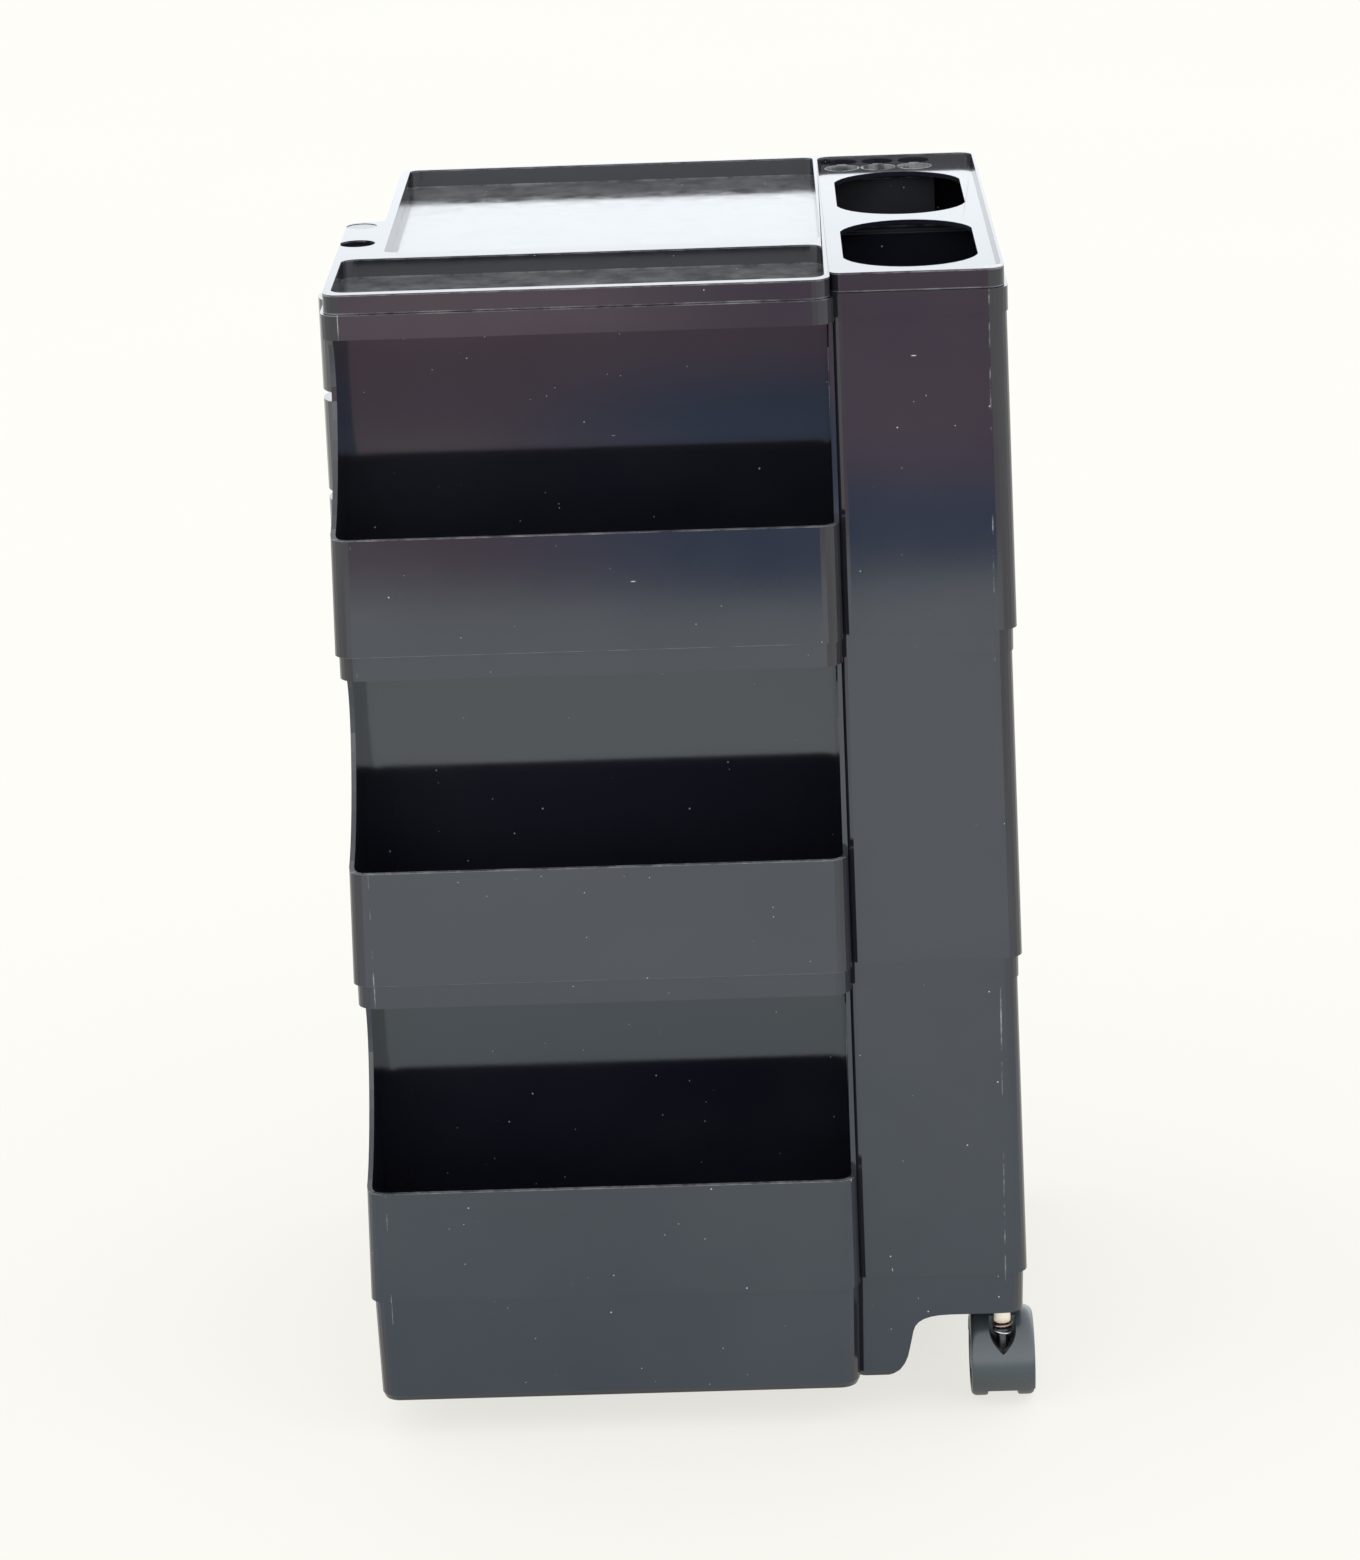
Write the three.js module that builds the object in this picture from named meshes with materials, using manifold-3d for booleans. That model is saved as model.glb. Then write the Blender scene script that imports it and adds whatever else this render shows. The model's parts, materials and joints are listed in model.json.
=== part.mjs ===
// Three-tier rolling storage trolley in moulded plastic.
// Millimetres, +Z up. The origin is the middle of the footprint on the floor.
// -Y is the pocket side, +X the tall column with two shafts, -X the side the drawers swing out to.
import * as THREE from "three";
import { mergeVertices } from "three/addons/utils/BufferGeometryUtils.js";
import ManifoldModule from "manifold-3d";

const wasm = await ManifoldModule();
wasm.setup();

// Heights
const SKIRT_BOTTOM = 23;
const BASE_TOP = 93;
const PITCH = 210;
const MODULE_COUNT = 3;
const COVER_THICKNESS = 12;
const SEAM_GAP = 0.3;
const MODULE_HEIGHT = PITCH - SEAM_GAP;
const COVER_BOTTOM = BASE_TOP + MODULE_COUNT * PITCH;
const COVER_TOP = COVER_BOTTOM + COVER_THICKNESS;

// Walls and mouldings
const WALL = 3;
const COLLAR_HEIGHT = 15;
const COLLAR_STEP = 1;
const COLLAR_INSIDE = -2.5;
const RIM_HEIGHT = 72.5;
const FLARE = 0.0155;
const BASE_TAPER = 0.008;
const INNER_WALL_TOP = MODULE_HEIGHT - 2.3;
const CORNER = 11;
const SHARP = 1;

// Plan of the module's wall at its top
const FRONT = -207.6;
const BACK = 207.6;
const POCKET_LEFT = -200.7;
const POCKET_RIGHT = 102.2;
const POCKET_BACK_WALL = -95;
const BAY_LEFT = -177;
const LUG_BACK = 24;
const COLUMN_LEFT = 100;
const COLUMN_RIGHT = 206.4;
const COLUMN_FRONT = -189.5;
const DIVIDER_Y = 12;

// Pivot of the drawers, through the lugs at the left
const PIVOT = { x: -189, y: -48 };
const TUBE_RADIUS = 10.3;
const TUBE_WALL = 2;
const TUBE_BORE = 10.6;
const LUG_PLUG = { x: -190, y: 9 };

// Drawers
const DRAWER_COUNT = 3;
const DRAWER_PITCH = 64;
const DRAWER_HEIGHT = 58;
const DRAWER_WALL = 2.5;
const DRAWER_FIRST = 4;
const DRAWER = { left: -176, right: 95.5, front: -88, back: 203, corner: 10 };
const HUB_RADIUS = 26;

// Cover
const TRAY_DEPTH = 11.8;
const COLUMN_RECESS = 6;
const PEN_HOLE_RADIUS = 10.5;
const PEN_HOLE_Y = 192;
const PEN_HOLE_X = [117.3, 141.4, 165.5];
const PEN_BOX = { left: 105, right: 178, front: 179.5, back: 203.9, depth: 90, wall: 2.4 };
const SHAFT_MOUTH_X = 152;
const SHAFT_MOUTH_Y = [-71, 98];

// Casters
const CASTERS = [
  { name: "front_right", x: 193.5, y: -179, turn: 0 },
  { name: "back_right", x: 193.5, y: 184, turn: Math.PI },
  { name: "front_left", x: -144, y: -130, turn: 0 },
  { name: "back_left", x: -122, y: 150, turn: Math.PI },
];
const TRAIL = 16;
const WHEEL_RADIUS = 25;
const WHEEL_INNER = 9.2;
const WHEEL_OUTER = 20.2;
const AXLE_RADIUS = 2.5;
const HOOD_LOW = 10;
const STEM_RADIUS = 4;
const SLEEVE_RADIUS = 5.2;
const BOSS_RADIUS = 12;
const PLATE_LOW = 81;
const PLATE_HIGH = 84;

// Ribs and caster bosses under the base's plate
const RIB_LOW = 62;
const BOSS_LOW = 66;
const CROSS_RIB_X = [-60, 20];
const LONG_RIB_Y = 10;
const COLUMN_RIB_Y = 0;

const CLEAR = 0.3;
const PAST = 1;
const OUTER_SEGMENTS = 3;
const INNER_SEGMENTS = 2;
const ROUND = 24;

// Plans, counter-clockwise from above: x, y and corner radius
const TRAY_PLAN = [
  [POCKET_LEFT, FRONT, CORNER],
  [POCKET_RIGHT, FRONT, CORNER + SHARP],
  [POCKET_RIGHT, BACK, SHARP],
  [BAY_LEFT, BACK, CORNER],
  [BAY_LEFT, LUG_BACK, 4],
  [POCKET_LEFT, LUG_BACK, CORNER],
];
const COLUMN_PLAN = [
  [COLUMN_LEFT, COLUMN_FRONT, 8],
  [COLUMN_RIGHT, COLUMN_FRONT, CORNER],
  [COLUMN_RIGHT, BACK, CORNER],
  [COLUMN_LEFT, BACK, SHARP],
];

function rectangle(left, right, front, back, radius) {
  return [[left, front, radius], [right, front, radius], [right, back, radius], [left, back, radius]];
}

// A closed outline of straight sides at right angles with round corners, grown outwards by grow.
function outline(plan, grow = 0) {
  const shape = new THREE.Shape();
  plan.forEach(([x, y, radius], index) => {
    const [previousX, previousY] = plan.at(index - 1);
    const [nextX, nextY] = plan[(index + 1) % plan.length];
    const inX = Math.sign(x - previousX);
    const inY = Math.sign(y - previousY);
    const outX = Math.sign(nextX - x);
    const outY = Math.sign(nextY - y);
    const convex = inX * outY - inY * outX > 0;
    const r = Math.max(radius + (convex ? grow : -grow), 0.5);
    const centreX = x + grow * (inY + outY) + r * (outX - inX);
    const centreY = y - grow * (inX + outX) + r * (outY - inY);
    shape.absarc(centreX, centreY, r, Math.atan2(-outY, -outX), Math.atan2(inY, inX), !convex);
  });
  return shape;
}

// three.js geometry to a manifold solid and back
function solid(geometry) {
  const bare = geometry.clone();
  bare.deleteAttribute("normal");
  bare.deleteAttribute("uv");
  const merged = mergeVertices(bare, 1e-4);
  const vertProperties = new Float32Array(merged.attributes.position.array);
  const triVerts = new Uint32Array(merged.index.array);
  return new wasm.Manifold(new wasm.Mesh({ numProp: 3, vertProperties, triVerts }));
}

function geometryOf(manifold) {
  const mesh = manifold.getMesh();
  const geometry = new THREE.BufferGeometry();
  geometry.setAttribute("position", new THREE.BufferAttribute(mesh.vertProperties, 3));
  geometry.setIndex(new THREE.BufferAttribute(mesh.triVerts, 1));
  const flat = geometry.toNonIndexed();
  flat.computeVertexNormals();
  return flat;
}

const union = (parts) => parts.reduce((whole, part) => whole.add(part));
const cut = (body, tools) => tools.reduce((left, tool) => left.subtract(tool), body);

// An extrusion from z low to z high; sizeAt(z) scales the plan at each end.
function extrusion(shape, low, high, sizeAt = () => 1, curveSegments = OUTER_SEGMENTS) {
  const geometry = new THREE.ExtrudeGeometry(shape, { depth: high - low, bevelEnabled: false, curveSegments });
  geometry.translate(0, 0, low);
  return resize(geometry, sizeAt);
}

const cavity = (shape, low, high, sizeAt) => extrusion(shape, low, high, sizeAt, INNER_SEGMENTS);

function resize(geometry, sizeAt) {
  const position = geometry.attributes.position;
  for (let i = 0; i < position.count; i += 1) {
    const size = sizeAt(position.getZ(i));
    position.setX(i, position.getX(i) * size);
    position.setY(i, position.getY(i) * size);
  }
  return solid(geometry);
}

function box(left, right, front, back, low, high) {
  const geometry = new THREE.BoxGeometry(right - left, back - front, high - low);
  geometry.translate((left + right) / 2, (front + back) / 2, (low + high) / 2);
  return solid(geometry);
}

function post(x, y, radius, low, high, segments = ROUND) {
  const geometry = new THREE.CylinderGeometry(radius, radius, high - low, segments);
  geometry.rotateX(Math.PI / 2);
  geometry.translate(x, y, (low + high) / 2);
  return solid(geometry);
}

// A shape drawn in Y and Z, extruded along X.
function alongX(shape, left, right, curveSegments = 2 * OUTER_SEGMENTS) {
  const geometry = new THREE.ExtrudeGeometry(shape, { depth: right - left, bevelEnabled: false, curveSegments });
  const turn = new THREE.Matrix4().makeBasis(
    new THREE.Vector3(0, 1, 0), new THREE.Vector3(0, 0, 1), new THREE.Vector3(1, 0, 0));
  geometry.applyMatrix4(turn);
  geometry.translate(left, 0, 0);
  return solid(geometry);
}

// A shape drawn in X and Z, extruded along Y.
function alongY(shape, front, back) {
  const geometry = new THREE.ExtrudeGeometry(shape, {
    depth: back - front,
    bevelEnabled: false,
    curveSegments: 2 * OUTER_SEGMENTS,
  });
  geometry.rotateX(Math.PI / 2);
  geometry.translate(0, back, 0);
  return solid(geometry);
}

// ---- Module ----

const moduleSize = (z) => 1 + FLARE * (1 - z / MODULE_HEIGHT);

// The side walls of the pocket are scooped back between the rim and the collar.
function pocketMouth() {
  const profile = new THREE.Shape();
  const collarLow = MODULE_HEIGHT - COLLAR_HEIGHT;
  profile.moveTo(-230, RIM_HEIGHT);
  profile.lineTo(-204, RIM_HEIGHT);
  profile.bezierCurveTo(-172, RIM_HEIGHT + 6, -150, RIM_HEIGHT + 42, -147, RIM_HEIGHT + 72);
  profile.bezierCurveTo(-145, RIM_HEIGHT + 96, -156, collarLow - 8, -178, collarLow);
  profile.lineTo(-230, collarLow);
  const scoop = alongX(profile, -230, COLUMN_LEFT - 0.1, 8);
  const corner = box(COLUMN_LEFT - PAST, 115, -230, COLUMN_FRONT - 1.2, RIM_HEIGHT, collarLow);
  return scoop.add(corner);
}

function trayPart() {
  const outer = extrusion(outline(TRAY_PLAN), 0, MODULE_HEIGHT, moduleSize);
  const inner = cavity(outline(TRAY_PLAN, -WALL), WALL, MODULE_HEIGHT + PAST, moduleSize);
  const backOfPocket = POCKET_BACK_WALL + WALL;
  const backWall = box(-215, COLUMN_LEFT + PAST, POCKET_BACK_WALL, backOfPocket, WALL / 2, INNER_WALL_TOP);
  const openBay = box(-230, COLUMN_LEFT - 0.1, backOfPocket, 230, WALL, MODULE_HEIGHT - COLLAR_HEIGHT);
  const walls = outer.subtract(inner).add(backWall.intersect(outer));
  return cut(walls, [pocketMouth(), openBay]);
}

function collar() {
  const low = MODULE_HEIGHT - COLLAR_HEIGHT;
  const ring = (plan) => extrusion(outline(plan, COLLAR_STEP), low, MODULE_HEIGHT)
    .subtract(cavity(outline(plan, COLLAR_INSIDE), low - PAST, MODULE_HEIGHT + PAST));
  const lug = extrusion(outline(TRAY_PLAN), low, INNER_WALL_TOP)
    .intersect(box(-210, BAY_LEFT + 4, POCKET_BACK_WALL + 1, LUG_BACK + PAST, 0, MODULE_HEIGHT));
  return ring(TRAY_PLAN).add(ring(COLUMN_PLAN)).add(lug);
}

// Two shafts side by side, open at both ends
function shafts(low, high, sizeAt) {
  const divider = box(COLUMN_LEFT - 5, COLUMN_RIGHT + 9, DIVIDER_Y, DIVIDER_Y + WALL, low - PAST, INNER_WALL_TOP);
  return cavity(outline(COLUMN_PLAN, -WALL), low, high, sizeAt).subtract(divider);
}

// Tabs under the floor that drop inside the collar below
function locatingTabs() {
  const drop = -7;
  const thick = 2.6;
  const slack = 0.5;
  const inside = BACK + COLLAR_INSIDE - slack;
  const tabs = [[-150, -110], [20, 60]].flatMap(([left, right]) => [
    box(left, right, -inside, -inside + thick, drop, WALL / 2),
    box(left, right, inside - thick, inside, drop, WALL / 2),
  ]);
  const bayInside = BAY_LEFT - COLLAR_INSIDE + slack;
  return union([...tabs, box(bayInside, bayInside + thick, 100, 140, drop, WALL / 2)]);
}

function moduleShell() {
  const column = extrusion(outline(COLUMN_PLAN), 0, MODULE_HEIGHT, moduleSize);
  const whole = union([trayPart(), column, collar(), locatingTabs()]);
  const tubeBore = post(PIVOT.x, PIVOT.y, TUBE_BORE, -PAST, MODULE_HEIGHT + PAST);
  return cut(whole, [shafts(-PAST, MODULE_HEIGHT + PAST, moduleSize), tubeBore]);
}

// ---- Base ----

const baseSize = (z) => 1 - BASE_TAPER * Math.min(1, (BASE_TOP - z) / (BASE_TOP - SKIRT_BOTTOM));

function baseOuter(plan) {
  const bend = 5;
  const geometry = new THREE.ExtrudeGeometry(outline(plan, COLLAR_STEP - bend), {
    depth: BASE_TOP - SKIRT_BOTTOM,
    bevelThickness: bend,
    bevelSize: bend,
    bevelSegments: 2,
    curveSegments: OUTER_SEGMENTS,
  });
  geometry.translate(0, 0, SKIRT_BOTTOM + bend);
  return resize(geometry, baseSize).intersect(box(-230, 230, -230, 230, 0, BASE_TOP));
}

// The arch in the skirt at a right-hand caster, at a distance from the corner of the column
function archShape(placeAt) {
  const arch = new THREE.Shape();
  const top = 65.5;
  const past = placeAt(-20);
  arch.moveTo(placeAt(94), SKIRT_BOTTOM - 5);
  arch.lineTo(placeAt(94), SKIRT_BOTTOM);
  arch.bezierCurveTo(placeAt(80), SKIRT_BOTTOM, placeAt(74), 31, placeAt(72), 43);
  arch.lineTo(placeAt(69.5), 55);
  arch.bezierCurveTo(placeAt(68), 62, placeAt(61), top, placeAt(46), top);
  arch.lineTo(past, top);
  arch.lineTo(past, SKIRT_BOTTOM - 5);
  return arch;
}

// The skirt is cut away around both right-hand casters, through the end wall and the side wall.
function casterArches() {
  const endWall = archShape((distance) => COLUMN_RIGHT - distance);
  const frontSide = archShape((distance) => COLUMN_FRONT + distance);
  const backSide = archShape((distance) => BACK - distance);
  return [
    alongY(endWall, -230, -160),
    alongY(endWall, 160, 230),
    alongX(frontSide, 180, 230),
    alongX(backSide, 180, 230),
  ];
}

function baseShell() {
  const outer = baseOuter(TRAY_PLAN).add(baseOuter(COLUMN_PLAN));
  const hollow = (plan, low, high) => cavity(outline(plan, COLLAR_STEP - WALL), low, high, baseSize);
  const plans = [TRAY_PLAN, COLUMN_PLAN];
  const cavities = plans.flatMap((plan) => [
    hollow(plan, SKIRT_BOTTOM - PAST, PLATE_LOW),
    hollow(plan, PLATE_HIGH, BASE_TOP + PAST),
  ]);
  const rib = (left, right, front, back) => box(left, right, front, back, RIB_LOW, PLATE_LOW + PAST);
  const ribs = [
    ...CROSS_RIB_X.map((x) => rib(x, x + WALL, FRONT, BACK)),
    rib(BAY_LEFT, POCKET_RIGHT, LONG_RIB_Y, LONG_RIB_Y + WALL),
    rib(POCKET_RIGHT, COLUMN_RIGHT, COLUMN_RIB_Y, COLUMN_RIB_Y + WALL),
  ];
  const bosses = CASTERS.map(({ x, y }) => post(x, y, BOSS_RADIUS, BOSS_LOW, PLATE_LOW + PAST));
  const bores = CASTERS.map(({ x, y }) => post(x, y, SLEEVE_RADIUS + CLEAR, RIB_LOW - PAST, PLATE_LOW - 0.5));
  const body = cut(outer, cavities).add(union([...ribs, ...bosses]).intersect(outer));
  const tubeSeat = post(PIVOT.x, PIVOT.y, TUBE_BORE, PLATE_HIGH, BASE_TOP + PAST);
  return cut(body, [...casterArches(), tubeSeat, ...bores]);
}

// ---- Cover ----

// A shaft mouth: straight sides, shallow arcs at both ends
function shaftMouth(centreY) {
  const half = 41;
  const straight = 42;
  const sagitta = 33;
  const radius = (half * half + sagitta * sagitta) / (2 * sagitta);
  const angle = Math.asin(half / radius);
  const mouth = new THREE.Shape();
  const endCentre = straight + sagitta - radius;
  const up = Math.PI / 2;
  mouth.absarc(SHAFT_MOUTH_X, centreY + endCentre, radius, up - angle, up + angle, false);
  mouth.absarc(SHAFT_MOUTH_X, centreY - endCentre, radius, -up - angle, -up + angle, false);
  const geometry = new THREE.ExtrudeGeometry(mouth, { depth: 60, bevelEnabled: false, curveSegments: 8 });
  geometry.translate(0, 0, COVER_TOP - 50);
  return solid(geometry);
}

function coverBody() {
  const inset = -COLLAR_STEP;
  const low = COVER_BOTTOM + SEAM_GAP;
  const plugLow = COVER_TOP - TRAY_DEPTH - 2;
  return union([TRAY_PLAN, COLUMN_PLAN].flatMap((plan) => [
    extrusion(outline(plan, inset), low, COVER_TOP),
    cavity(outline(plan, COLLAR_INSIDE - 0.7), plugLow, low + PAST),
  ]));
}

function coverRecesses() {
  const above = COVER_TOP + PAST;
  const trayFloor = COVER_TOP - TRAY_DEPTH;
  const mainTray = rectangle(-170.5, 98, -80, 202, 6);
  const penTray = rectangle(-195, 98, -199.2, -98, 9);
  const column = rectangle(101, 203.6, COLUMN_FRONT + 8, 203.2, 9);
  return [
    extrusion(outline(mainTray), trayFloor, above),
    extrusion(outline(penTray), trayFloor, above),
    extrusion(outline(column), COVER_TOP - COLUMN_RECESS, above),
  ];
}

// A rib stays between the two hollows, over the divider of the shafts.
function coverUndercuts() {
  const under = COVER_BOTTOM - 20;
  const columnRoof = COVER_TOP - COLUMN_RECESS - WALL;
  const columnHollow = (front, back) => box(104.5, 199, front, back, under, columnRoof);
  return [
    columnHollow(COLUMN_FRONT + 8, DIVIDER_Y),
    columnHollow(DIVIDER_Y + WALL, 199),
    box(-165, 92, -94, -84, under, COVER_TOP - WALL),
  ];
}

function coverHoles() {
  return [
    ...SHAFT_MOUTH_Y.map(shaftMouth),
    post(PIVOT.x, PIVOT.y, 11.2, COVER_BOTTOM - 20, COVER_TOP + PAST),
    post(LUG_PLUG.x, LUG_PLUG.y, 9.6, COVER_TOP - 4.5, COVER_TOP + PAST),
    post(LUG_PLUG.x, LUG_PLUG.y, 7.3, COVER_BOTTOM - 20, COVER_TOP + PAST, 24),
  ];
}

// A narrow box hangs under the three pen holes; grow is negative for its inside.
function penBox(grow, low, high) {
  const { left, right, front, back } = PEN_BOX;
  return box(left - grow, right + grow, front - grow, back + grow, low, high);
}

function topCover() {
  const floor = COVER_TOP - COLUMN_RECESS;
  const { depth, wall } = PEN_BOX;
  const holes = PEN_HOLE_X.map((x) => post(x, PEN_HOLE_Y, PEN_HOLE_RADIUS, floor - 2 * WALL, COVER_TOP + PAST));
  const plate = cut(coverBody(), [...coverRecesses(), ...coverUndercuts(), ...coverHoles()]);
  const withBox = plate.add(penBox(0, floor - depth, floor - PAST));
  return cut(withBox, [penBox(-wall, floor - depth + wall, floor - WALL), ...holes]);
}

// ---- Drawer, drawn with its floor at z = 0 ----

function drawerShell() {
  const body = rectangle(DRAWER.left, DRAWER.right, DRAWER.front, DRAWER.back, DRAWER.corner);
  const hub = post(PIVOT.x, PIVOT.y, HUB_RADIUS, 0, DRAWER_HEIGHT, 36);
  const inside = cavity(outline(body, -DRAWER_WALL), DRAWER_WALL, DRAWER_HEIGHT + PAST)
    .subtract(post(PIVOT.x, PIVOT.y, HUB_RADIUS, 0, DRAWER_HEIGHT + 2 * PAST, 36));
  const lip = rectangle(DRAWER.left + 20, DRAWER.right - 20, DRAWER.back - 2, DRAWER.back + 4.5, 3);
  const grip = extrusion(outline(lip), DRAWER_HEIGHT - 7, DRAWER_HEIGHT);
  const outer = union([extrusion(outline(body), 0, DRAWER_HEIGHT), hub, grip]);
  return cut(outer, [inside, post(PIVOT.x, PIVOT.y, TUBE_BORE, -PAST, DRAWER_HEIGHT + PAST)]);
}

// ---- Pivot tube and lug plug ----

function pivotTube() {
  const low = PLATE_HIGH + CLEAR;
  const high = COVER_TOP - 4;
  return post(PIVOT.x, PIVOT.y, TUBE_RADIUS, low, high)
    .subtract(post(PIVOT.x, PIVOT.y, TUBE_RADIUS - TUBE_WALL, low - PAST, high + PAST, 24));
}

function lugPlug() {
  const cap = post(LUG_PLUG.x, LUG_PLUG.y, 9.3, COVER_TOP - 4.2, COVER_TOP - 0.3);
  const shank = post(LUG_PLUG.x, LUG_PLUG.y, 7, COVER_BOTTOM + 1, COVER_TOP - 4, 24);
  return cap.add(shank);
}

// ---- Caster, drawn with its swivel axis at x = 0, y = 0 and the axle behind it ----

// The hood's outline seen from the side: y from the swivel axis, z from the floor
function hoodProfile() {
  const profile = new THREE.Shape();
  profile.moveTo(TRAIL - 26.5, HOOD_LOW);
  profile.bezierCurveTo(TRAIL - 28.2, 16, TRAIL - 28.8, 25, TRAIL - 28, 32);
  profile.bezierCurveTo(TRAIL - 27, 46, TRAIL - 17, 58.5, TRAIL, 58.5);
  profile.bezierCurveTo(TRAIL + 15, 58.5, TRAIL + 26, 48, TRAIL + 28, 34);
  profile.lineTo(TRAIL + 9, 17);
  profile.lineTo(TRAIL - 9, 17);
  profile.lineTo(TRAIL - 16, HOOD_LOW);
  return profile;
}

// A shield-shaped window in the hood below the stem
function hoodWindow() {
  const window = new THREE.Shape();
  window.moveTo(-8, 60);
  window.lineTo(-8, 51);
  window.quadraticCurveTo(-7, 44, 0, 39);
  window.quadraticCurveTo(7, 44, 8, 51);
  window.lineTo(8, 60);
  return alongY(window, -30, -7);
}

function casterHood() {
  const halfWidth = WHEEL_OUTER;
  const block = alongX(hoodProfile(), -halfWidth, halfWidth, 4);
  const well = (left, right) => {
    const geometry = new THREE.CylinderGeometry(WHEEL_RADIUS + 0.8, WHEEL_RADIUS + 0.8, right - left, 24);
    geometry.rotateZ(Math.PI / 2);
    geometry.translate((left + right) / 2, TRAIL, WHEEL_RADIUS);
    return solid(geometry);
  };
  const axleHole = new THREE.CylinderGeometry(AXLE_RADIUS + CLEAR, AXLE_RADIUS + CLEAR, 60, 12);
  axleHole.rotateZ(Math.PI / 2);
  axleHole.translate(0, TRAIL, WHEEL_RADIUS);
  const wellInside = WHEEL_INNER - 0.6;
  return cut(block, [
    well(-halfWidth - PAST, -wellInside),
    well(wellInside, halfWidth + PAST),
    solid(axleHole),
    post(0, 0, STEM_RADIUS + CLEAR, 33, 70, 12),
    post(0, 0, 6.6, 50, 70, 16),
    hoodWindow(),
  ]);
}

// Solids of revolution from [radius, height] pairs
function turned(points, segments = 16) {
  return new THREE.LatheGeometry(points.map(([r, z]) => new THREE.Vector2(r, z)), segments);
}

function sleeveGeometry() {
  const inside = STEM_RADIUS + CLEAR;
  const ring = [[inside, 56], [SLEEVE_RADIUS, 56], [SLEEVE_RADIUS, 80], [inside, 80], [inside, 56]];
  return turned(ring).rotateX(Math.PI / 2);
}

function stemGeometry() {
  const points = [
    [0, 33.5], [STEM_RADIUS - 0.2, 33.5], [STEM_RADIUS - 0.2, 50.5], [6, 50.5], [6, 52], [STEM_RADIUS - 0.2, 52],
    [STEM_RADIUS - 0.2, 79], [0, 79],
  ];
  return turned(points, 12).rotateX(Math.PI / 2);
}

function axleGeometry() {
  const geometry = new THREE.CylinderGeometry(AXLE_RADIUS - 0.1, AXLE_RADIUS - 0.1, 2 * 16.5, 12);
  return geometry.rotateZ(Math.PI / 2);
}

// A wheel with a blind bore and a round outer edge; side is -1 or 1
function wheelGeometry(side) {
  const bore = AXLE_RADIUS + CLEAR;
  const profile = [
    [0, 17.2], [bore, 17.2], [bore, WHEEL_INNER], [WHEEL_RADIUS, WHEEL_INNER],
    [WHEEL_RADIUS, WHEEL_OUTER - 3], [WHEEL_RADIUS - 3, WHEEL_OUTER], [0, WHEEL_OUTER],
  ];
  return turned(profile, 24).rotateZ(-side * Math.PI / 2);
}

// ---- Materials ----

const plastic = (color, roughness) => new THREE.MeshStandardMaterial({ color, roughness, metalness: 0 });
const steel = new THREE.MeshStandardMaterial({ color: 0xb9bcc0, roughness: 0.3, metalness: 1 });
const shellPlastic = plastic(0x33363c, 0.32);
const drawerPlastic = plastic(0x30333a, 0.34);
const casterPlastic = plastic(0x3a4347, 0.4);
const wheelPlastic = plastic(0x26292c, 0.5);
const sleevePlastic = plastic(0xe3dcc4, 0.45);
const plugPlastic = plastic(0x3a3c40, 0.3);

// ---- Assembly ----

const trolley = new THREE.Group();

function place(group, name, geometry, material, z = 0) {
  const mesh = new THREE.Mesh(geometry, material);
  mesh.name = name;
  mesh.position.z = z;
  group.add(mesh);
  return mesh;
}

function addCaster({ name, x, y, turn }) {
  const caster = new THREE.Group();
  caster.position.set(x, y, 0);
  caster.rotation.z = turn;
  place(caster, `caster_sleeve_${name}`, sleeveGeometry(), sleevePlastic);
  place(caster, `caster_stem_${name}`, stemGeometry(), steel);
  place(caster, `caster_hood_${name}`, geometryOf(casterHood()), casterPlastic);
  const axle = place(caster, `caster_axle_${name}`, axleGeometry(), steel, WHEEL_RADIUS);
  axle.position.y = TRAIL;
  [["left", -1], ["right", 1]].forEach(([sideName, side]) => {
    const wheel = place(caster, `wheel_${name}_${sideName}`, wheelGeometry(side), wheelPlastic, WHEEL_RADIUS);
    wheel.position.y = TRAIL;
  });
  trolley.add(caster);
}

place(trolley, "base_shell", geometryOf(baseShell()), shellPlastic);
const shell = moduleShell();
for (let level = 0; level < MODULE_COUNT; level += 1) {
  const z = BASE_TOP + SEAM_GAP + level * PITCH;
  place(trolley, `module_${level + 1}_shell`, geometryOf(shell), shellPlastic, z);
}
place(trolley, "top_cover", geometryOf(topCover()), shellPlastic);
place(trolley, "pivot_tube", geometryOf(pivotTube()), shellPlastic);
place(trolley, "lug_plug", geometryOf(lugPlug()), plugPlastic);
const drawer = drawerShell();
for (let level = 0; level < DRAWER_COUNT; level += 1) {
  const z = COVER_BOTTOM - PITCH + DRAWER_FIRST + level * DRAWER_PITCH;
  place(trolley, `drawer_${level + 1}`, geometryOf(drawer), drawerPlastic, z);
}
CASTERS.forEach(addCaster);

export default trolley;
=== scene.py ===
"""Looks of the three-tier rolling storage trolley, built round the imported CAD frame."""

import json
import math

import bmesh
import bpy
from mathutils import Matrix, Vector


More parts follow.
